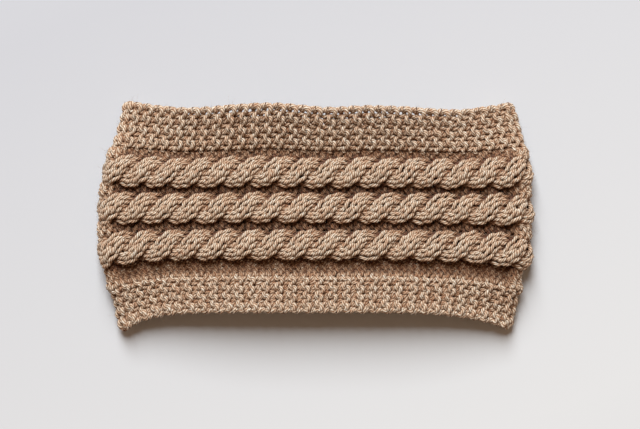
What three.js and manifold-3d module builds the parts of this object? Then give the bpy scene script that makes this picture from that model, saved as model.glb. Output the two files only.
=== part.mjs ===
// Ear warmer headband: a loop of cable-knit fabric lying folded flat, front layer over back layer.
// Millimetres. X runs along the folded band, Y across it with the upper border at +Y, Z is up.
// The origin is at the middle of the bounding box, on the surface that the band lies on.
import * as THREE from "three";
import { mergeVertices } from "three/addons/utils/BufferGeometryUtils.js";
import Module from "manifold-3d";

// Sizes of the folded band
const flatWidth = 240; // fold to fold over the middle cable
const endNarrowing = 8; // how much nearer the middle each fold lies at the upper and lower edges
const narrowingPower = 3.2;
const hollowDepth = 5.8; // between the inner faces of the two layers, where the head goes

// Zones of the fabric from the upper edge down, each size across the band
const upperBorderHeight = 24.4;
const lowerBorderHeight = 22.4;
const topChannelHeight = 3.2;
const middleChannelHeight = 3.4;
const bottomChannelHeight = 5.8;
const cableWidth = 17.4;

// Thicknesses, measured outwards from the hollow
const borderThickness = 4.2;
const channelThickness = 2.8;
const channelFoldThickness = 6; // a channel's crown where the fabric turns round a fold
const crownSides = [0.25, 0.75]; // the crown's two sides, as shares of the channel's width
const backingThickness = 1.2; // behind each cable
const clearance = 0.3; // between a cable and the band
const cableThickness = 7.4;
const edgeRounding = 1.3; // of the band's two free edges
const channelSlope = 0.9; // width of the slope between two thicknesses

// Rope cables
const crossingLength = 14.9; // along the band from one crossing of the two strands to the next
const crestOffset = 3.9; // from the middle of the front layer to the nearest front crossing
const strandShoulder = 1; // a strand's radius 45 degrees from its crown, as a share
const strandWaist = 0.62; // the groove between the strands, as a share
const seatedFlat = 0.6; // how much of a crest the surface below flattens

// The lower edge droops towards the folds, a little more on the right
const lowerEdgeDroop = {
  left: { drop: 7.1, power: 4 },
  right: { drop: 9.0, power: 2.8 },
};
const droopFade = 2.2; // how fast the droop dies away towards the upper edge

// The back layer lies slack, so its upper edge is lower than the front layer's between the folds
const backSlump = 9;

// The borders lift away from the hollow towards their free edges, between the folds
const edgeFlare = 2.6;
const flarePower = 4; // how close to the folds the flare keeps its height

// The upper edge waves: at is a share of half the width, rise a share of upperEdgeWave
const upperEdgeWave = 2;
const waveFade = 3;
const upperEdgeTable = [
  { at: -1.0, rise: 0.9 },
  { at: -0.6, rise: -0.7 },
  { at: -0.2, rise: 0.9 },
  { at: 0.08, rise: -0.4 },
  { at: 0.25, rise: 0.1 },
  { at: 0.64, rise: -1.2 },
  { at: 1.0, rise: 0.4 },
];

// Colours of the wool
const yarnColour = 0xa08268;
const sunkenColour = 0x8a6c55;

// Fineness of the faceted surfaces
const straightSteps = 14;
const foldSteps = 8;
const innerSteps = 5;
const stepsPerCrossing = 4;
const sectionSides = 8;

const bandHeight =
  upperBorderHeight +
  lowerBorderHeight +
  topChannelHeight +
  2 * middleChannelHeight +
  bottomChannelHeight +
  3 * cableWidth;
const halfHeight = bandHeight / 2;
const cableSeat = backingThickness + clearance;
const cableTop = cableSeat + cableThickness;
const cableHalfThickness = (cableThickness + clearance) / 2;
const cableAxisDepth = cableTop - cableHalfThickness;
const middleReach = flatWidth / 2 - hollowDepth / 2 - cableTop;
const restHeight = hollowDepth / 2 + cableTop - seatedFlat;

// The three cables with the height of each one's axis above the middle line of the band
const upperCableHeight = halfHeight - upperBorderHeight - topChannelHeight - cableWidth / 2;
const cablePitch = cableWidth + middleChannelHeight;
const cables = [
  { name: "cable_upper", height: upperCableHeight },
  { name: "cable_middle", height: upperCableHeight - cablePitch },
  { name: "cable_lower", height: upperCableHeight - 2 * cablePitch },
];

// Half the length of the flat stretch between the folds, at one height
function straightReach(height) {
  const share = Math.abs(height) / halfHeight;
  return middleReach - endNarrowing * share ** narrowingPower;
}

function smoothStep(share) {
  return share * share * (3 - 2 * share);
}

// The rise of the upper edge at a share of half the width, eased between the rows of its table
function upperEdgeRise(at) {
  const last = upperEdgeTable.length - 1;
  if (at <= upperEdgeTable[0].at) return upperEdgeTable[0].rise;
  if (at >= upperEdgeTable[last].at) return upperEdgeTable[last].rise;
  const right = upperEdgeTable.findIndex((row) => row.at > at);
  const from = upperEdgeTable[right - 1];
  const to = upperEdgeTable[right];
  const ease = smoothStep((at - from.at) / (to.at - from.at));
  return from.rise + (to.rise - from.rise) * ease;
}

// How far the fabric at x has moved up or down from its straight line
function heightShift(x, height, leg) {
  const at = x / (flatWidth / 2);
  const side = at < 0 ? lowerEdgeDroop.left : lowerEdgeDroop.right;
  const lowness = Math.max(0, (1 - height / halfHeight) / 2);
  const highness = Math.max(0, (1 + height / halfHeight) / 2);
  const droop = side.drop * Math.abs(at) ** side.power * lowness ** droopFade;
  const wave = upperEdgeWave * upperEdgeRise(at) * highness ** waveFade;
  const slump = leg === 2 ? backSlump * (1 - at * at) ** 2 * highness : 0;
  return wave - droop - slump;
}

// How far the fabric has lifted outwards from the hollow
function flare(station, height) {
  if (station.leg % 2 === 1) return 0;
  const flareStart = halfHeight - Math.max(upperBorderHeight, lowerBorderHeight);
  const edgeShare = (Math.abs(height) - flareStart) / (halfHeight - flareStart);
  const betweenFolds = 1 - Math.abs(2 * station.share - 1) ** flarePower;
  return edgeFlare * smoothStep(Math.min(1, Math.max(0, edgeShare))) * betweenFolds;
}

// One point of the loop. A station is a leg (0 front, 1 right fold, 2 back, 3 left fold) and a share
// of it, height is across the band, and depth is outwards from the hollow.
function loopPoint(station, height, depth) {
  const reach = straightReach(height);
  const radius = hollowDepth / 2 + depth + flare(station, height);
  let x;
  let z;
  if (station.leg === 0 || station.leg === 2) {
    const side = station.leg === 0 ? 1 : -1;
    x = side * (2 * station.share - 1) * reach;
    z = side * radius;
  } else {
    const side = station.leg === 1 ? 1 : -1;
    const angle = Math.PI * (0.5 - station.share);
    x = side * (reach + radius * Math.cos(angle));
    z = side * radius * Math.sin(angle);
  }
  return new THREE.Vector3(x, height + heightShift(x, height, station.leg), z + restHeight);
}

// The stations of the band, the same at every height
function bandStations() {
  const stations = [];
  for (let leg = 0; leg < 4; leg += 1) {
    const steps = leg % 2 === 0 ? straightSteps : foldSteps;
    for (let step = 0; step < steps; step += 1) {
      stations.push({ leg, share: step / steps });
    }
  }
  return stations;
}

// The station at a length along the loop, counted from the left end of the front layer
function stationAt(length, reach, foldLength) {
  const legs = [2 * reach, foldLength, 2 * reach, foldLength];
  const whole = legs.reduce((sum, leg) => sum + leg, 0);
  let left = ((length % whole) + whole) % whole;
  let leg = 0;
  while (leg < 3 && left > legs[leg]) {
    left -= legs[leg];
    leg += 1;
  }
  return { leg, share: left / legs[leg] };
}

// A closed ring from sections of equal length: rows[station][corner], wound so that it faces out
function ringGeometry(rows) {
  const sides = rows[0].length;
  const positions = [];
  const indices = [];
  rows.forEach((row) => row.forEach((point) => positions.push(point.x, point.y, point.z)));
  rows.forEach((row, station) => {
    const next = (station + 1) % rows.length;
    for (let corner = 0; corner < sides; corner += 1) {
      const after = (corner + 1) % sides;
      const here = station * sides + corner;
      const hereAfter = station * sides + after;
      const there = next * sides + corner;
      const thereAfter = next * sides + after;
      indices.push(here, there, hereAfter, there, thereAfter, hereAfter);
    }
  });
  const geometry = new THREE.BufferGeometry();
  geometry.setAttribute("position", new THREE.Float32BufferAttribute(positions, 3));
  geometry.setIndex(indices);
  return geometry;
}

// How far round a fold a station is: 0 on the flat layers, 1 at the middle of a fold
function foldShare(station) {
  return station.leg % 2 === 0 ? 0 : Math.sin(Math.PI * station.share);
}

// The crown of a channel, which the cables beside it push outwards where the fabric folds
function channelCrown(from, to) {
  return crownSides.map((share) => ({
    height: from + (to - from) * share,
    depth: channelThickness,
    foldDepth: channelFoldThickness,
  }));
}

// The band's section: the outer face from the lower edge up, then the inner face back down
function bandSection() {
  const lower = -halfHeight;
  const upper = halfHeight;
  let channelStart = lower + lowerBorderHeight;
  const outline = [
    { height: lower, depth: edgeRounding },
    { height: lower, depth: borderThickness - edgeRounding },
    { height: lower + edgeRounding, depth: borderThickness },
    { height: channelStart - channelSlope, depth: borderThickness },
    { height: channelStart, depth: channelThickness },
  ];
  [...cables].reverse().forEach((cable) => {
    const from = cable.height - cableWidth / 2;
    const to = cable.height + cableWidth / 2;
    outline.push(...channelCrown(channelStart, from));
    outline.push({ height: from, depth: channelThickness });
    outline.push({ height: from + channelSlope, depth: backingThickness });
    outline.push({ height: to - channelSlope, depth: backingThickness });
    outline.push({ height: to, depth: channelThickness });
    channelStart = to;
  });
  outline.push(
    ...channelCrown(channelStart, upper - upperBorderHeight),
    { height: upper - upperBorderHeight, depth: channelThickness },
    { height: upper - upperBorderHeight + channelSlope, depth: borderThickness },
    { height: upper - edgeRounding, depth: borderThickness },
    { height: upper, depth: borderThickness - edgeRounding },
    { height: upper, depth: edgeRounding },
  );
  const innerHalf = halfHeight - edgeRounding;
  for (let step = 0; step <= innerSteps; step += 1) {
    outline.push({ height: innerHalf * (1 - (2 * step) / innerSteps), depth: 0 });
  }
  return outline;
}

function bandGeometry() {
  const section = bandSection();
  const rows = bandStations().map((station) =>
    section.map((corner) => {
      const foldDepth = corner.foldDepth ?? corner.depth;
      const depth = corner.depth + (foldDepth - corner.depth) * foldShare(station);
      return loopPoint(station, corner.height, depth);
    }),
  );
  return ringGeometry(rows);
}

// One corner of a cable's section: two round strands side by side, turned by the twist and then
// pressed flat. Seen from outside, the strand in front climbs to the right.
function cableCorner(corner, twist) {
  const angle = (2 * Math.PI * corner) / sectionSides;
  const fromCrown = Math.abs(Math.sin(angle));
  const shoulder = fromCrown > 0.1 && fromCrown < 0.9;
  let radius = 1;
  if (shoulder) radius = strandShoulder;
  if (fromCrown >= 0.9) radius = strandWaist;
  return {
    across: (-cableWidth / 2) * radius * Math.cos(angle + twist),
    out: cableHalfThickness * radius * Math.sin(angle + twist),
  };
}

function cableGeometry(axisHeight) {
  const reach = straightReach(axisHeight);
  const foldLength = Math.PI * (hollowDepth / 2 + cableAxisDepth);
  const whole = 4 * reach + 2 * foldLength;
  const crossings = 2 * Math.round(whole / crossingLength / 2);
  const crossing = whole / crossings;
  const start = reach + crestOffset - crossing / 2;
  const rows = [];
  for (let step = 0; step < crossings * stepsPerCrossing; step += 1) {
    const station = stationAt(start + (step * crossing) / stepsPerCrossing, reach, foldLength);
    const twist = (Math.PI * step) / stepsPerCrossing;
    const row = [];
    for (let corner = 0; corner < sectionSides; corner += 1) {
      const { across, out } = cableCorner(corner, twist);
      const depth = Math.max(cableSeat, cableAxisDepth + out);
      row.push(loopPoint(station, axisHeight + across, depth));
    }
    rows.push(row);
  }
  return ringGeometry(rows);
}

const wasm = await Module();
wasm.setup();

function solidFrom(geometry) {
  const bare = geometry.clone();
  bare.deleteAttribute("normal");
  bare.deleteAttribute("uv");
  const merged = mergeVertices(bare, 1e-4);
  return new wasm.Manifold(
    new wasm.Mesh({
      numProp: 3,
      vertProperties: new Float32Array(merged.attributes.position.array),
      triVerts: new Uint32Array(merged.index.array),
    }),
  );
}

function geometryFrom(solid) {
  const mesh = solid.getMesh();
  const geometry = new THREE.BufferGeometry();
  geometry.setAttribute("position", new THREE.BufferAttribute(mesh.vertProperties, 3));
  geometry.setIndex(new THREE.BufferAttribute(mesh.triVerts, 1));
  geometry.computeVertexNormals();
  return geometry;
}

// The crests that meet the surface below are pressed flat on it
function pressedFlat(geometry) {
  const block = new THREE.BoxGeometry(2 * flatWidth, 2 * bandHeight, cableThickness);
  block.translate(0, 0, -cableThickness / 2);
  return geometryFrom(solidFrom(geometry).subtract(solidFrom(block)));
}

function woolMaterial(colour) {
  return new THREE.MeshStandardMaterial({ color: colour, roughness: 0.95, metalness: 0 });
}

const headband = new THREE.Group();
const band = new THREE.Mesh(bandGeometry(), woolMaterial(sunkenColour));
band.name = "band";
headband.add(band);
cables.forEach((cable) => {
  const mesh = new THREE.Mesh(pressedFlat(cableGeometry(cable.height)), woolMaterial(yarnColour));
  mesh.name = cable.name;
  headband.add(mesh);
});

// The loop is drawn about the middle of its straight fabric, and this brings its box to the origin
const box = new THREE.Box3().setFromObject(headband);
const centre = box.getCenter(new THREE.Vector3());
headband.position.set(-centre.x, -centre.y, -box.min.z);

export default headband;
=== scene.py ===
"""The looks of the ear warmer headband: each row of its knitting is one yarn, drawn as a thin tube.

The loop of fabric lies folded flat, as in the CAD frame. A point of the fabric has a turn (0 at the middle
of the front layer, growing to the right, 1 once round the loop), a height (across the band) and a depth
(outwards from the hollow). Sizes are in millimetres until a mesh is made.
"""

import math

import bpy
import numpy as np
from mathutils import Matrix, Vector


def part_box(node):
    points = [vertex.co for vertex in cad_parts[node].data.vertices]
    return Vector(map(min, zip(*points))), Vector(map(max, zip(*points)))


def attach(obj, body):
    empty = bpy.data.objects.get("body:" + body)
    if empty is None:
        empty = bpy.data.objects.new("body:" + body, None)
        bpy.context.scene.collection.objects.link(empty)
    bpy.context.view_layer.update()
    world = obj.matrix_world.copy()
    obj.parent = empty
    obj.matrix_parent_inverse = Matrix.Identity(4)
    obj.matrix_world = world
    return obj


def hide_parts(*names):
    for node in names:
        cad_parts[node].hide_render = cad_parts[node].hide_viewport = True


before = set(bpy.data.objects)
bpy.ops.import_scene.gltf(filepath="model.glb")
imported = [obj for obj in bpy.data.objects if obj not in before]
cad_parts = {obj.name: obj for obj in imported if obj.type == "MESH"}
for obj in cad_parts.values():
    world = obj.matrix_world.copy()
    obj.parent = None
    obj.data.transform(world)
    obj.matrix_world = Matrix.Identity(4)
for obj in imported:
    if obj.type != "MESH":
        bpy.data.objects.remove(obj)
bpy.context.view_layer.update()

MM = 0.001
RNG = np.random.default_rng(41)

# The folded loop
HALF_HEIGHT = 57.4
HALF_WIDTH = 120.0
HOLLOW_HALF = 2.9
CABLE_AXIS_DEPTH = 5.05
MIDDLE_REACH = 108.2
END_NARROWING = 8.0
NARROWING_POWER = 3.2
REST_HEIGHT = 11.2
FOLD_LENGTH = math.pi * (HOLLOW_HALF + CABLE_AXIS_DEPTH)
FOLD_ROUND = 0.8
LOWER_STRETCH = 0.04
EDGE_REACH = 1.8
HEIGHT_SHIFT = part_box("band")[1].y / MM - (HALF_HEIGHT + EDGE_REACH)

# How far past the edges and the folds the shares of height and width still grow
EDGE_LIMIT = 1.1
END_LIMIT = 1.02

# The droop at each end: the most, its power along the band and its power towards the lower edge
DROOP_LEFT = (24.0, 6.8, 4.0)
DROOP_RIGHT = (16.0, 4.4, 2.6)
BACK_SLUMP = 9.0
CORNER_SETTLE = 0.58
CORNER_START = 24.0
CORNER_SPAN = 26.0

# The flare of the edges away from the hollow
UPPER_FLARE = 7.6
LOWER_FLARE = 4.6
BACK_FLARE = 2.4
FLARE_START = 33.0
FLARE_POWER = 1.2

# The wave of the upper edge along the band, from the left end at -1 to the right end at 1
EDGE_WAVE = 2.0
WAVE_AT = np.array([-1.0, -0.6, -0.2, 0.08, 0.25, 0.64, 1.0])
WAVE_RISE = np.array([2.1, -0.4, 0.8, -0.4, 0.1, -0.9, 1.8])

# How a corner leans in: the most, then the share of the height where it starts and that over which it grows
UPPER_LEFT_LEAN = (5.6, 0.5, 0.4)
LOWER_LEFT_LEAN = (4.0, 0.73, 0.12)
LOWER_RIGHT_LEAN = (-2.8, 0.62, 0.22)

# The knitting
ROWS = 132
SAMPLES = 16
SIDES = 6
YARN_RADIUS = 1.07
LOOP_BULGE = 0.23
LOOP_REACH = 0.86
GARTER_BULGE = 0.2
GARTER_SLANT = 0.12
GARTER_REACH = 0.9
CROSS = 0.95
RIDGE = 1.0
PURL_RIDGE = 0.9
LEG_SINK = 0.5
PURL_LEG_SINK = 0.9
CHANGE_OF_ROW = 0.8

# The cables
CROSSINGS = 33
CREST_TURN = 6.3 / (4 * MIDDLE_REACH + 2 * FOLD_LENGTH)
CABLE_RADIUS = 4.3
CABLE_SWELL = 2.4
SWELL_POWER = 0.6
CABLE_SINK = 3.3
SINK_POWER = 1.6
CABLE_TURN_UP = 0.2
CABLE_ROUND = 0.8
CABLE_ROUND_REACH = 8.0
CABLE_DWELL = 0.26
CABLE_STITCH = 4.0
CABLE_SPREAD = 1.0
LEAN = 0.85
STRAND_CROWN = 1.6

# Zones of the fabric from the lower edge up: name, kind, first and last height, stitches, depth
ZONES = [
    ("lower_border", "garter", -54.4, -35.6, 4, 2.3),
    ("bottom_channel", "purl", -35.6, -23.8, 3, -3.4),
    ("cable_lower", "cable", -23.8, -12.0, 4, 4.6),
    ("lower_middle_channel", "purl", -12.0, -3.7, 2, -0.6),
    ("cable_middle", "cable", -3.7, 8.1, 4, 4.6),
    ("upper_middle_channel", "purl", 8.1, 15.7, 2, -0.6),
    ("cable_upper", "cable", 15.7, 27.5, 4, 4.6),
    ("top_channel", "purl", 27.5, 33.6, 2, -0.8),
    ("upper_border", "garter", 33.6, 57.0, 4, 2.3),
]
CABLE_AXIS = {"cable_lower": -17.9, "cable_middle": 2.2, "cable_upper": 21.6}
# The bottom channel's depth goes past where the yarn stops short of the hollow's middle, most of all right
# under the lower cable; that extra depth only makes the painted shade there darker
BOTTOM_CHANNEL_SLOPE = 4.4
BOTTOM_CHANNEL_POWER = 5
CHANNEL_FOLD_LIFT = {
    "bottom_channel": 5.0,
    "lower_middle_channel": 5.2,
    "upper_middle_channel": 5.2,
    "top_channel": 5.2,
}

# How the yarn turns back at both edges: along the loop in the row that leads and in the one that follows,
# in rows, and across the band in stitches
LEADING_WAY = (-0.85, -0.6, 0.0)
FOLLOWING_WAY = (-0.3, -0.4, -1.0)
OUTWARD_WAY = (0.1, 0.45, 0.45)
EDGE_CROSS = 0.7

# How the yarn wanders: points from one random value to the next, and their size
LOOP_WANDER = (8, 0.08)
TURN_WANDER = (5, 0.06)
HEIGHT_WANDER = (5, 0.2)
DEPTH_WANDER = (6, 0.15)
RADIUS_WANDER = (10, 0.04)
END_POINTS = 4

# How full the yarn is: everywhere, at the folds and at the knots of the edges
FULLNESS = 1.05
FOLD_BULK = 0.2
EDGE_BULK = 0.3
EDGE_BULK_START = 1.2
EDGE_BULK_POINTS = 12

# The grid on which the face of the fabric is found, and how deep under it the painted shade makes the yarn
# fully dark
COVER_TURNS = 480
COVER_HEIGHTS = 120
NEAR_REACH = 1
BROAD_REACH = 4
BROAD_SHARE = 0.34
PAINTED_SHADE_RANGE = 4.2
FAR_BELOW = -9.0

# The loose fibres
FUZZ = 7000
FUZZ_EXPOSED = 1.6
FUZZ_OUTWARD = 0.7
FUZZ_ROOT = 0.8
FUZZ_CURLS = (0.45, 0.4)
FUZZ_CURL_LIMIT = 1.5
FUZZ_LENGTH = (2.5, 0.6)
FUZZ_SHORTEST = 0.5
FUZZ_LONGEST = 3.0
FUZZ_POINTS = 5
FUZZ_SIDES = 3
FUZZ_RADIUS = 0.045
FUZZ_TAPER = 0.6
FUZZ_FLOOR_GAP = 0.05
FUZZ_MAP_STEP = 0.001

SOFT_BEND = 0.15
OUTWARD_STEP = 0.5
SMALLEST_LENGTH = 1e-6
ROW_OFFSET = 40
FIRST_ACROSS = np.array([0.3, 0.2, 1.0])

# The yarn's material. The heather tones are 0 to 255 screen values, the others multiply them; the groove
# and sunken ones are painted shade
PLIES = 4.0
PLY_LENGTH = 1.65
PLY_POWER = 0.7
FIBRES_ALONG = 0.35
FIBRES_AROUND = 4.0
FIBRE_SCALE = 1.7
HEATHER_SCALE = 420.0
NOISE_DETAIL = 2.0
HEATHER = [(0.25, (206, 169, 138)), (0.5, (231, 215, 192)), (0.78, (242, 243, 232))]
GROOVE_PAINTED_SHADE = [(0.0, (0.16, 0.05, 0.02)), (0.45, (0.57, 0.36, 0.23)), (1.0, (1.0, 1.0, 1.0))]
GRAIN = [(0.3, (0.70, 0.66, 0.62)), (0.7, (1.1, 1.1, 1.12))]
SUNKEN_PAINTED_SHADE = [(0.26, (1.0, 1.0, 1.0)), (0.55, (0.62, 0.47, 0.37)), (1.0, (0.16, 0.05, 0.02))]
FIBRE_BUMP = 0.5
BUMP_STRENGTH = 0.85
BUMP_DISTANCE = 0.0006
SHEEN_TINT = (235, 215, 195)

# The floor, the light and the camera: lengths in metres, but the sensor's in millimetres
FLOOR_HALF = 3.0
# Painted light on the floor: paler towards the lower right, darker towards the upper left
FLOOR_PAINTED_LIGHT = [(0.0, (191, 194, 200)), (1.0, (214, 217, 219))]
FLOOR_PAINTED_LIGHT_ACROSS = 1.2
FLOOR_PAINTED_LIGHT_DOWN = -3.2
FLOOR_PAINTED_LIGHT_MIDDLE = 0.5
STUDIO_COLOUR = (1.0, 0.65, 0.42, 1)
STUDIO_STRENGTH = 0.24
KEY_SIZE = (1.6, 3.0)
KEY_ENERGY = 248.0
KEY_COLOUR = (0.955, 0.98, 1.0)
KEY_PLACE = (-0.4, 2.65, 2.8)
CAMERA_PLACE = (0.0029, 0.0008, 1.2)
SENSOR_WIDTH = 36.0
VIEW_WIDTH = 0.3515
VIEW_HEIGHT = 0.0112


def smooth_step(share):
    share = np.clip(share, 0.0, 1.0)
    return share * share * (3 - 2 * share)


def stay_over(value, least):
    """The value, kept over least, with a soft bend where it comes near."""
    away = np.abs(value - least) / SOFT_BEND
    return np.maximum(value, least) + SOFT_BEND * np.log1p(np.exp(-away))


def from_ends(count):
    """How many points each point of a row is from the nearer end."""
    return np.minimum(np.arange(count), np.arange(count)[::-1])


def edge_rise(at):
    at = np.clip(at, -1.0, 1.0)
    right = np.clip(np.searchsorted(WAVE_AT, at, side="right"), 1, len(WAVE_AT) - 1)
    left = right - 1
    ease = smooth_step((at - WAVE_AT[left]) / (WAVE_AT[right] - WAVE_AT[left]))
    return WAVE_RISE[left] + (WAVE_RISE[right] - WAVE_RISE[left]) * ease


def whole_length(height):
    """How far the flat layers reach from the middle at a height, and the loop's whole length there."""
    share = np.abs(height) / HALF_HEIGHT
    reach = MIDDLE_REACH - END_NARROWING * share**NARROWING_POWER
    return reach, 4 * reach + 2 * FOLD_LENGTH


def corner_lean(share, lean):
    most, start, span = lean
    return most * smooth_step((share - start) / span)


def place(turn, height, depth):
    """The points of the fabric in space, as an array with x, y and z last."""
    reach, whole = whole_length(height)
    low = np.clip((1 - height / HALF_HEIGHT) / 2, 0, EDGE_LIMIT)
    high = np.clip((1 + height / HALF_HEIGHT) / 2, 0, EDGE_LIMIT)
    stretch = LOWER_STRETCH * low
    turn = np.mod(turn + 0.5, 1.0) - 0.5
    along = (turn + stretch * np.sin(4 * math.pi * turn) / (4 * math.pi)) * whole
    length = np.abs(along)
    side = np.where(along < 0, -1.0, 1.0)
    angle = np.clip((length - reach) / FOLD_LENGTH, 0, 1) * math.pi
    straight = np.minimum(length, reach) - np.maximum(length - reach - FOLD_LENGTH, 0)
    edge = (np.abs(height) - FLARE_START) / (HALF_HEIGHT - FLARE_START)
    front = np.where(height > 0, UPPER_FLARE, LOWER_FLARE)
    rise = front + (BACK_FLARE - front) * angle / math.pi
    flare = rise * np.clip(edge, 0, EDGE_LIMIT) ** FLARE_POWER * (1 - np.abs(straight / reach) ** 4)
    radius = HOLLOW_HALF + depth + flare + FOLD_ROUND * np.sin(angle)
    # The two layers never cut through each other
    radius = stay_over(radius, YARN_RADIUS)
    x = side * (straight + radius * np.sin(angle))
    z = REST_HEIGHT + radius * np.cos(angle)
    at = np.clip(x / HALF_WIDTH, -END_LIMIT, END_LIMIT)
    x = x + np.where(at < 0, corner_lean(high, UPPER_LEFT_LEAN), 0) * at * at
    lower_lean = np.where(at < 0, corner_lean(low, LOWER_LEFT_LEAN), corner_lean(low, LOWER_RIGHT_LEAN))
    x = x + lower_lean * np.abs(at) ** 3
    drops = [most * np.abs(at) ** power * low**fade for most, power, fade in (DROOP_LEFT, DROOP_RIGHT)]
    drop = np.where(at < 0, drops[0], drops[1])
    slump = BACK_SLUMP * np.maximum(0, 1 - at * at) ** 2 * high * angle / math.pi
    y = height + EDGE_WAVE * edge_rise(at) * high**3 - drop - slump
    corner = smooth_step((np.abs(height) - CORNER_START) / CORNER_SPAN) * np.abs(np.clip(at, -1, 1)) ** 3
    z = z * (1 - CORNER_SETTLE * corner)
    # Nothing sinks into the floor: the yarn lies on it
    z = stay_over(z, YARN_RADIUS)
    return np.stack([x, y + HEIGHT_SHIFT, z], axis=-1)


def fold_share(turn):
    """0 on the flat layers and 1 at the middle of a fold."""
    reach, whole = whole_length(0.0)
    length = np.abs(np.mod(turn + 0.5, 1.0) - 0.5) * whole
    return np.sin(np.clip((length - reach) / FOLD_LENGTH, 0, 1) * math.pi)


def soften(values, weight):
    """Values along each row, averaged with their neighbours where the weight says so."""
    kernel = np.array([1.0, 3.0, 6.0, 8.0, 9.0, 8.0, 6.0, 3.0, 1.0])
    kernel /= kernel.sum()
    half = len(kernel) // 2
    padded = np.pad(values, ((0, 0), (half, half)), mode="edge")
    smooth = sum(k * padded[:, n : n + values.shape[1]] for n, k in enumerate(kernel))
    return values * (1 - weight) + smooth * weight


def cable_phase(turn):
    """How far round each other the strands are at a turn, and how fast that grows."""
    raw = math.pi * CROSSINGS * (turn - CREST_TURN) + math.pi / 2
    rate = math.pi * CROSSINGS * (1 - CABLE_DWELL * np.cos(2 * raw))
    return raw - CABLE_DWELL * np.sin(2 * raw) / 2, rate


def knit_rows():
    """Turn, height and depth of each row's yarn, rows x points, from the lower edge to the upper one."""
    row = np.arange(ROWS)
    row_turn = CREST_TURN + (row + 0.5) / ROWS
    wales = sum(zone[4] for zone in ZONES)
    count = wales * SAMPLES + 1
    wale = np.minimum(np.arange(count) // SAMPLES, wales - 1)
    # The way along one stitch: minus and plus pi at its two feet, 0 at the top of its loop
    way = -math.pi + 2 * math.pi * (np.arange(count) - wale * SAMPLES) / SAMPLES
    size = 1 + wander(count, *LOOP_WANDER)
    garter = np.concatenate([np.full(zone[4] * SAMPLES, zone[1] == "garter") for zone in ZONES] + [[True]])
    across = np.where(garter, GARTER_BULGE, LOOP_BULGE) * size * np.sin(2 * way) + way / (2 * math.pi)
    forward = np.where(garter, GARTER_REACH, LOOP_REACH) * size * np.cos(way)
    # The slant of the garter stitches begins half a stitch away from the purl ones
    inner = np.convolve(garter, np.ones(SAMPLES + 1) / (SAMPLES + 1), mode="same")
    inner = np.where(from_ends(count) < SAMPLES, 1, np.clip(2 * inner - 1, 0, 1))
    across = across + np.where(garter, GARTER_SLANT * inner * np.cos(way), 0)
    turn = row_turn[:, None] + forward / ROWS
    height = np.zeros((ROWS, count))
    depth = np.zeros((ROWS, count))
    own = np.zeros((ROWS, count))
    after = np.zeros((ROWS, count))
    ridge = np.zeros(count)
    alternating = np.where(row % 2 == 0, 1.0, -1.0)
    joints = np.zeros(count)
    strand_joints = np.zeros(count)
    first = 0
    starts = []
    for name, kind, low, high, stitches, zone_depth in ZONES:
        starts.append(first)
        here = (wale >= first) & (wale < first + stitches)
        joints[first * SAMPLES] = 1
        width = (high - low) / stitches
        sign = {"garter": alternating, "purl": -np.ones(ROWS), "cable": np.ones(ROWS)}[kind]
        own[:, here] = sign[:, None]
        after[:, here] = np.roll(sign, -1)[:, None]
        if kind == "cable":
            strand_joints[[first * SAMPLES, (first + 2) * SAMPLES, (first + stitches) * SAMPLES]] = 1
            joints[(first + 2) * SAMPLES] = 1
            slot = wale[here] - first
            axis = CABLE_AXIS[name]
            place_cable(axis, zone_depth, slot, across[:, here], here, row_turn, turn, height, depth)
        else:
            centre = low + (wale[here] - first + 0.5) * width
            height[:, here] = centre + across[:, here] * width
            depth[:, here] = zone_depth
            ridge[here] = PURL_RIDGE if kind == "purl" else RIDGE
        if kind == "purl":
            depth[:, here] += CHANNEL_FOLD_LIFT[name] * fold_share(turn[:, here])
        if name == "bottom_channel":
            share = (high - height[:, here]) / (high - low)
            depth[:, here] += BOTTOM_CHANNEL_SLOPE * share**BOTTOM_CHANNEL_POWER
        first += stitches
    starts.append(first)
    # Stitches of two kinds run into each other
    window = np.array([0.3, 0.7, 1, 1, 1, 1, 1, 0.7, 0.3])
    weight = np.minimum(np.convolve(joints, window, mode="same"), 1)
    strand_weight = np.minimum(np.convolve(strand_joints, window, mode="same"), 1)
    turn = soften(turn, strand_weight)
    height = soften(height, strand_weight)
    depth = soften(depth, weight)
    ridge = soften(ridge[None], weight)[0]
    own = soften(own, weight)
    after = soften(after, weight)
    # The feet of a loop take its own row's side of the fabric, and its top takes the next row's
    upper = smooth_step(0.5 + CHANGE_OF_ROW * np.cos(way))
    sign = own * (1 - upper) + after * upper
    depth = depth - sign * (CROSS * np.cos(2 * way) + ridge * np.abs(np.cos(way)))
    leg_sink = np.where(garter, LEG_SINK, PURL_LEG_SINK) * np.clip(ridge / PURL_RIDGE, 0, 1)
    depth = depth - leg_sink * np.sin(way) ** 2
    turn_back(row_turn, turn, height, depth, alternating)
    return turn, height, depth, starts


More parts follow.
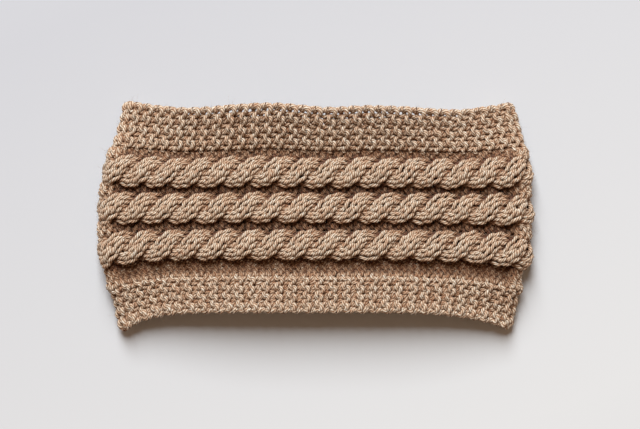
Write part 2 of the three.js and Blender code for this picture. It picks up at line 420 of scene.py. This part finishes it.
def place_cable(axis, zone_depth, slot, across, here, row_turn, turn, height, depth):
    """Two strands of two stitches wind round each other, half a turn in four rows."""
    length = whole_length(axis)[1]
    row_phase, _ = cable_phase(row_turn)
    first_is_low = np.cos(row_phase) > 0
    point = turn[:, here]
    phase, rate = cable_phase(point)
    upper_pair = slot >= 2
    first_strand = np.where(first_is_low[:, None], ~upper_pair, upper_pair)
    sign = np.where(first_strand, 1.0, -1.0)
    rise = sign * np.sin(phase)
    slope = CABLE_RADIUS * rise * rate / length
    lean = np.arctan(slope) * LEAN
    width = CABLE_STITCH + CABLE_SPREAD * np.maximum(rise, 0) ** 2
    offset = (slot % 2 - 0.5 + across) * width
    ahead = sign * np.sin(phase + CABLE_TURN_UP)
    over = CABLE_SWELL * np.abs(ahead) ** SWELL_POWER
    under = -CABLE_SINK * np.abs(ahead) ** SINK_POWER
    swell = np.where(ahead > 0, over, under)
    height[:, here] = axis - sign * CABLE_RADIUS * np.cos(phase) + offset * np.cos(lean)
    turn[:, here] = point - offset * np.sin(lean) / length
    away = (height[:, here] - axis) / CABLE_ROUND_REACH
    depth[:, here] = zone_depth + swell - STRAND_CROWN * (offset / width) ** 2 - CABLE_ROUND * away**2


def turn_back(row_turn, turn, height, depth, alternating):
    """At both edges the yarn of each row runs on into the next one or the one before."""
    row = np.arange(ROWS)
    quarter = SAMPLES // 4
    last = turn.shape[1] - 1
    share = np.arange(quarter + 1) / quarter
    for side in (-1, 1):
        leads = (row % 2 == 0) if side > 0 else (row % 2 == 1)
        zone = ZONES[-1] if side > 0 else ZONES[0]
        width = (zone[3] - zone[2]) / zone[4]
        edge = zone[3] if side > 0 else zone[2]
        centre = edge - side * width / 2
        columns = np.arange(last - quarter, last + 1) if side > 0 else np.arange(quarter, -1, -1)
        begin = columns[0]
        start_turn = (turn[:, begin] - row_turn) * ROWS
        start_height = (height[:, begin] - centre) * side / width
        ahead = [np.where(leads, *ways) for ways in zip(LEADING_WAY, FOLLOWING_WAY)]
        out = [np.full(ROWS, way) for way in OUTWARD_WAY]
        base = depth[:, begin].copy()
        for step, column in zip(share, columns):
            weights = [(1 - step) ** 3, 3 * step * (1 - step) ** 2, 3 * step**2 * (1 - step), step**3]
            along = sum(w * a for w, a in zip(weights, [start_turn] + ahead))
            across = sum(w * o for w, o in zip(weights, [start_height] + out))
            cross = EDGE_CROSS * CROSS * alternating * math.sin(math.pi * step)
            turn[:, column] = row_turn + along / ROWS
            height[:, column] = centre + side * width * across
            depth[:, column] = base * (1 - step) + zone[5] * step - cross


def wander(count, spacing, amount):
    """Smooth random values along each row, rows x points."""
    knots = RNG.normal(0, amount, (ROWS, count // spacing + 3))
    at = np.arange(count) / spacing
    left = at.astype(int)
    ease = smooth_step(at - left)
    return knots[:, left] * (1 - ease) + knots[:, left + 1] * ease


def frames_along(path):
    """Unit vectors across each path that turn as little as they can."""
    tangent = np.gradient(path, axis=1)
    tangent /= np.linalg.norm(tangent, axis=-1, keepdims=True)
    normal = np.zeros_like(path)
    first = np.cross(tangent[:, 0], FIRST_ACROSS)
    normal[:, 0] = first / np.linalg.norm(first, axis=-1, keepdims=True)
    for step in range(1, path.shape[1]):
        kept = normal[:, step - 1]
        kept = kept - (kept * tangent[:, step]).sum(-1, keepdims=True) * tangent[:, step]
        normal[:, step] = kept / np.linalg.norm(kept, axis=-1, keepdims=True)
    return normal, np.cross(tangent, normal)


def cover(turn, height, depth):
    """The depth of the fabric's outer and of its inner face at each point."""
    column = (np.mod(turn, 1.0) * COVER_TURNS).astype(int) % COVER_TURNS
    line = np.clip((height + COVER_HEIGHTS // 2).astype(int), 0, COVER_HEIGHTS - 1)
    cells = column, line
    faces = []
    for way in (1, -1):
        top = np.full((COVER_TURNS, COVER_HEIGHTS), FAR_BELOW)
        np.maximum.at(top, cells, way * depth)
        near = spread(top, NEAR_REACH)
        broad = spread(top, BROAD_REACH)
        faces.append(way * (near * (1 - BROAD_SHARE) + broad * BROAD_SHARE)[cells])
    return faces


def spread(grid, reach):
    """The highest value within reach of each cell, smoothed over twice that reach."""
    for blend in (np.max, np.mean, np.mean):
        for axis in (0, 1):
            near = [np.roll(grid, shift, axis) for shift in range(-reach, reach + 1)]
            grid = blend(near, axis=0)
    return grid


def tube_piece(name, path, normal, binormal, length, radius, sides, sunk, outward, material):
    """One mesh of closed tubes, one for each path, with the length and the way round as its map."""
    tubes, steps = path.shape[:2]
    angle = np.arange(sides) * 2 * math.pi / sides
    ring = (
        path[:, :, None]
        + radius[:, :, None, None]
        * (np.cos(angle)[:, None] * normal[:, :, None] + np.sin(angle)[:, None] * binormal[:, :, None])
    )
    vertices = ring.reshape(-1, 3) * MM
    # Painted shade: the colour darkens the deeper a point lies under the nearer face of the fabric
    lift = ((ring - path[:, :, None]) * outward[:, :, None]).sum(-1)
    from_outside = (sunk[0][:, :, None] - lift) / PAINTED_SHADE_RANGE
    from_inside = (sunk[1][:, :, None] + lift) / PAINTED_SHADE_RANGE
    painted_shade = np.clip(np.minimum(from_outside, from_inside), 0, 1)
    tube, step, side = np.meshgrid(np.arange(tubes), np.arange(steps - 1), np.arange(sides), indexing="ij")
    here = (tube * steps + step) * sides
    after = (side + 1) % sides
    corners = [here + side, here + after, here + sides + after, here + sides + side]
    quads = np.stack(corners, axis=-1).reshape(-1, 4)
    near = length[tube, step]
    far = length[tube, step + 1]
    around = side / sides
    around_after = (side + 1) / sides
    places = [(near, around), (near, around_after), (far, around_after), (far, around)]
    quad_map = np.stack([np.stack(pair, -1) for pair in places], axis=-2).reshape(-1, 2)
    starts = np.arange(tubes) * steps * sides
    first_caps = starts[:, None] + np.arange(sides)[::-1]
    last_caps = starts[:, None] + (steps - 1) * sides + np.arange(sides)
    caps = np.concatenate([first_caps, last_caps])
    cap_map = np.zeros((caps.size, 2))
    loops = np.concatenate([quads.reshape(-1), caps.reshape(-1)])
    cap_start = len(quads) * 4 + np.arange(len(caps)) * sides
    loop_start = np.concatenate([np.arange(len(quads)) * 4, cap_start])
    mesh = bpy.data.meshes.new(name)
    mesh.vertices.add(len(vertices))
    mesh.vertices.foreach_set("co", vertices.astype(np.float32).reshape(-1))
    mesh.loops.add(len(loops))
    mesh.loops.foreach_set("vertex_index", loops.astype(np.int32))
    mesh.polygons.add(len(loop_start))
    mesh.polygons.foreach_set("loop_start", loop_start.astype(np.int32))
    smooth = np.concatenate([np.ones(len(quads), bool), np.zeros(len(caps), bool)])
    mesh.polygons.foreach_set("use_smooth", smooth)
    layer = mesh.uv_layers.new(name="YarnMap")
    layer.uv.foreach_set("vector", np.concatenate([quad_map, cap_map]).astype(np.float32).reshape(-1))
    # The painted shade's share at each point, read by the material
    attribute = mesh.attributes.new("PaintedShade", "FLOAT", "POINT")
    attribute.data.foreach_set("value", painted_shade.astype(np.float32).reshape(-1))
    mesh.update()
    mesh.validate()
    mesh.materials.append(material)
    piece = bpy.data.objects.new(name, mesh)
    bpy.context.scene.collection.objects.link(piece)
    return piece


def fuzz(path, sunk, outward, length, material):
    """Loose fibres that stand out of the yarn on the outside of the fabric."""
    exposed = np.argwhere(sunk[0] < FUZZ_EXPOSED)
    chosen = exposed[RNG.integers(0, len(exposed), FUZZ)]
    row, step = chosen[:, 0], chosen[:, 1]
    away = RNG.normal(0, 1, (FUZZ, 3))
    away /= np.linalg.norm(away, axis=-1, keepdims=True)
    away += FUZZ_OUTWARD * outward[row, step]
    away /= np.linalg.norm(away, axis=-1, keepdims=True)
    curls = np.clip(RNG.normal(0, 1, (2, FUZZ, 3)), -FUZZ_CURL_LIMIT, FUZZ_CURL_LIMIT)
    reach = np.minimum(RNG.gamma(*FUZZ_LENGTH, (FUZZ, 1)) + FUZZ_SHORTEST, FUZZ_LONGEST)
    root = path[row, step] + away * YARN_RADIUS * FUZZ_ROOT
    shares = np.linspace(0, 1, FUZZ_POINTS)
    bends = [curls[0] * FUZZ_CURLS[0] * s**2 - curls[1] * FUZZ_CURLS[1] * s**3 for s in shares]
    fibre = np.stack([root + reach * (away * s + bend) for s, bend in zip(shares, bends)], axis=1)
    fibre[..., 2] = np.maximum(fibre[..., 2], FUZZ_FLOOR_GAP)
    normal, binormal = frames_along(fibre)
    radius = FUZZ_RADIUS * (1 - FUZZ_TAPER * shares) * np.ones((FUZZ, 1))
    none = np.full(radius.shape, FAR_BELOW)
    along = length[row, step][:, None] + FUZZ_MAP_STEP * shares
    sunk = [none, none]
    return tube_piece(
        "knit_fuzz", fibre, normal, binormal, along, radius, FUZZ_SIDES, sunk, normal * 0, material
    )


class Nodes:
    """Adds shader nodes to one material and joins them."""

    def __init__(self, material):
        material.use_nodes = True
        self.tree = material.node_tree
        self.shader = self.tree.nodes["Principled BSDF"]

    def add(self, kind, **values):
        node = self.tree.nodes.new(kind)
        for key, value in values.items():
            setattr(node, key, value)
        return node

    def join(self, source, target):
        self.tree.links.new(source, target)

    def math(self, operation, first, second=None):
        node = self.add("ShaderNodeMath", operation=operation)
        for slot, value in enumerate((first, second)):
            if value is None:
                continue
            if isinstance(value, (int, float)):
                node.inputs[slot].default_value = value
            else:
                self.join(value, node.inputs[slot])
        return node.outputs[0]

    def ramp(self, value, stops):
        node = self.add("ShaderNodeValToRGB")
        ramp = node.color_ramp
        while len(ramp.elements) < len(stops):
            ramp.elements.new(0.5)
        for element, (position, colour) in zip(ramp.elements, stops):
            element.position = position
            element.color = (*colour, 1)
        self.join(value, node.inputs[0])
        return node.outputs[0]

    def noise(self, place, scale, dimensions):
        node = self.add("ShaderNodeTexNoise", noise_dimensions=dimensions)
        node.inputs["Scale"].default_value = scale
        node.inputs["Detail"].default_value = NOISE_DETAIL
        self.join(place, node.inputs["Vector"])
        return node.outputs[0]

    def multiply(self, first, second):
        node = self.add("ShaderNodeMix", data_type="RGBA", blend_type="MULTIPLY")
        node.inputs[0].default_value = 1.0
        self.join(first, node.inputs[6])
        self.join(second, node.inputs[7])
        return node.outputs[2]


def linear(screen):
    """A colour from its 0 to 255 screen values."""
    shares = [value / 255 for value in screen]
    return tuple(c / 12.92 if c <= 0.04045 else ((c + 0.055) / 1.055) ** 2.4 for c in shares)


def linear_stops(stops):
    return [(position, linear(screen)) for position, screen in stops]


def wool_material():
    material = bpy.data.materials.new("wool_yarn")
    nodes = Nodes(material)
    yarn_map = nodes.add("ShaderNodeUVMap", uv_map="YarnMap")
    parts = nodes.add("ShaderNodeSeparateXYZ")
    nodes.join(yarn_map.outputs[0], parts.inputs[0])
    length = parts.outputs[0]
    around = parts.outputs[1]
    # Four plies twisted together: a wave that winds round the yarn
    wind = nodes.math(
        "ADD",
        nodes.math("MULTIPLY", around, PLIES),
        nodes.math("MULTIPLY", length, 1 / PLY_LENGTH),
    )
    wave = nodes.math("ABSOLUTE", nodes.math("SINE", nodes.math("MULTIPLY", wind, math.pi)))
    ply = nodes.math("POWER", wave, PLY_POWER)
    # Fibres lie along each ply
    fibre_place = nodes.add("ShaderNodeCombineXYZ")
    nodes.join(nodes.math("MULTIPLY", length, FIBRES_ALONG), fibre_place.inputs[0])
    nodes.join(nodes.math("MULTIPLY", wind, FIBRES_AROUND), fibre_place.inputs[1])
    fibres = nodes.noise(fibre_place.outputs[0], FIBRE_SCALE, "2D")
    # The tone changes from place to place at random; painted shade makes it darker in the grooves between
    # the plies and where the yarn lies deep
    place_map = nodes.add("ShaderNodeTexCoord")
    heather = nodes.noise(place_map.outputs["Object"], HEATHER_SCALE, "3D")
    tone = nodes.ramp(heather, linear_stops(HEATHER))
    # Painted shade in the grooves between the plies
    groove_shaded = nodes.multiply(tone, nodes.ramp(ply, GROOVE_PAINTED_SHADE))
    grained = nodes.multiply(groove_shaded, nodes.ramp(fibres, GRAIN))
    # Painted shade where the yarn lies deep in the fabric
    painted_shade = nodes.add("ShaderNodeAttribute", attribute_name="PaintedShade")
    shaded = nodes.multiply(grained, nodes.ramp(painted_shade.outputs["Fac"], SUNKEN_PAINTED_SHADE))
    nodes.join(shaded, nodes.shader.inputs["Base Color"])
    bump = nodes.add("ShaderNodeBump")
    bump.inputs["Strength"].default_value = BUMP_STRENGTH
    bump.inputs["Distance"].default_value = BUMP_DISTANCE
    nodes.join(nodes.math("ADD", ply, nodes.math("MULTIPLY", fibres, FIBRE_BUMP)), bump.inputs["Height"])
    nodes.join(bump.outputs[0], nodes.shader.inputs["Normal"])
    nodes.shader.inputs["Roughness"].default_value = 0.92
    nodes.shader.inputs["Specular IOR Level"].default_value = 0.2
    nodes.shader.inputs["Sheen Weight"].default_value = 0.25
    nodes.shader.inputs["Sheen Roughness"].default_value = 0.6
    nodes.shader.inputs["Sheen Tint"].default_value = (*linear(SHEEN_TINT), 1)
    return material


def floor_material():
    """A plain matt floor with painted light: its colour is a little paler towards the lower right."""
    material = bpy.data.materials.new("pale_floor")
    nodes = Nodes(material)
    place_map = nodes.add("ShaderNodeTexCoord")
    parts = nodes.add("ShaderNodeSeparateXYZ")
    nodes.join(place_map.outputs["Object"], parts.inputs[0])
    across = nodes.math("MULTIPLY", parts.outputs[0], FLOOR_PAINTED_LIGHT_ACROSS)
    down = nodes.math("MULTIPLY", parts.outputs[1], FLOOR_PAINTED_LIGHT_DOWN)
    share = nodes.math("ADD", nodes.math("ADD", across, down), FLOOR_PAINTED_LIGHT_MIDDLE)
    # Painted light: the floor's colour grows paler towards the lower right
    tone = nodes.ramp(share, linear_stops(FLOOR_PAINTED_LIGHT))
    nodes.join(tone, nodes.shader.inputs["Base Color"])
    nodes.shader.inputs["Roughness"].default_value = 0.7
    nodes.shader.inputs["Specular IOR Level"].default_value = 0.2
    return material


def floor_and_light():
    mesh = bpy.data.meshes.new("floor")
    corners = [(x * FLOOR_HALF, y * FLOOR_HALF, 0) for x, y in ((-1, -1), (1, -1), (1, 1), (-1, 1))]
    mesh.from_pydata(corners, [], [(0, 1, 2, 3)])
    mesh.materials.append(floor_material())
    floor = bpy.data.objects.new("floor", mesh)
    bpy.context.scene.collection.objects.link(floor)

    world = bpy.data.worlds.new("studio")
    world.use_nodes = True
    world.node_tree.nodes["Background"].inputs[0].default_value = STUDIO_COLOUR
    world.node_tree.nodes["Background"].inputs[1].default_value = STUDIO_STRENGTH
    bpy.context.scene.world = world

    key_data = bpy.data.lights.new("key", "AREA")
    key_data.shape = "RECTANGLE"
    key_data.size, key_data.size_y = KEY_SIZE
    key_data.energy = KEY_ENERGY
    key_data.color = KEY_COLOUR
    key = bpy.data.objects.new("key", key_data)
    aim(key, KEY_PLACE, (0, 0, 0))
    bpy.context.scene.collection.objects.link(key)


def aim(thing, position, target):
    thing.location = position
    way = Vector(target) - Vector(position)
    thing.rotation_euler = way.to_track_quat("-Z", "Y").to_euler()


def camera():
    """Looks straight down, with VIEW_WIDTH across the picture at VIEW_HEIGHT over the floor."""
    data = bpy.data.cameras.new("camera")
    data.sensor_width = SENSOR_WIDTH
    data.lens = SENSOR_WIDTH * (CAMERA_PLACE[2] - VIEW_HEIGHT) / VIEW_WIDTH
    thing = bpy.data.objects.new("camera", data)
    thing.location = CAMERA_PLACE
    thing.rotation_euler = (0, 0, 0)
    bpy.context.scene.collection.objects.link(thing)
    bpy.context.scene.camera = thing


bpy.context.scene.view_settings.view_transform = "Standard"
camera()
floor_and_light()
wool = wool_material()

turn, height, depth, starts = knit_rows()
count = turn.shape[1]
# The two ends of a row stay where they meet those of its neighbours
free = np.minimum(from_ends(count) / END_POINTS, 1)
turn += free * wander(count, *TURN_WANDER) / ROWS
height += free * wander(count, *HEIGHT_WANDER)
depth += free * wander(count, *DEPTH_WANDER)
path = place(turn, height, depth)
normal, binormal = frames_along(path)
steps = np.linalg.norm(np.diff(path, axis=1), axis=-1)
length = np.concatenate([np.zeros((ROWS, 1)), np.cumsum(steps, axis=1)], axis=1)
length += RNG.uniform(0, ROW_OFFSET, (ROWS, 1))
radius = YARN_RADIUS * (1 + free * wander(count, *RADIUS_WANDER)) * (1 + FOLD_BULK * fold_share(turn))
# The knots of the edges are bulky
radius *= 1 + EDGE_BULK * smooth_step(EDGE_BULK_START - from_ends(count) / EDGE_BULK_POINTS)
radius *= FULLNESS
# How deep each point lies under the fabric's faces: it sets the painted shade in the recesses, and where
# the fuzz grows
outside, inside = cover(turn, height, depth)
sunk = (outside + YARN_RADIUS - depth, depth - inside + YARN_RADIUS)
outward = place(turn, height, depth + OUTWARD_STEP) - place(turn, height, depth)
outward /= np.maximum(np.linalg.norm(outward, axis=-1, keepdims=True), SMALLEST_LENGTH)

for index, zone in enumerate(ZONES):
    cut = slice(SAMPLES * starts[index], SAMPLES * starts[index + 1] + 1)
    piece = tube_piece(
        "knit_" + zone[0],
        path[:, cut],
        normal[:, cut],
        binormal[:, cut],
        length[:, cut],
        radius[:, cut],
        SIDES,
        [face[:, cut] for face in sunk],
        outward[:, cut],
        wool,
    )
    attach(piece, "root")
    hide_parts(zone[0] if zone[1] == "cable" else "band")

loose = fuzz(path, sunk, outward, length, wool)
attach(loose, "root")
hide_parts("band")
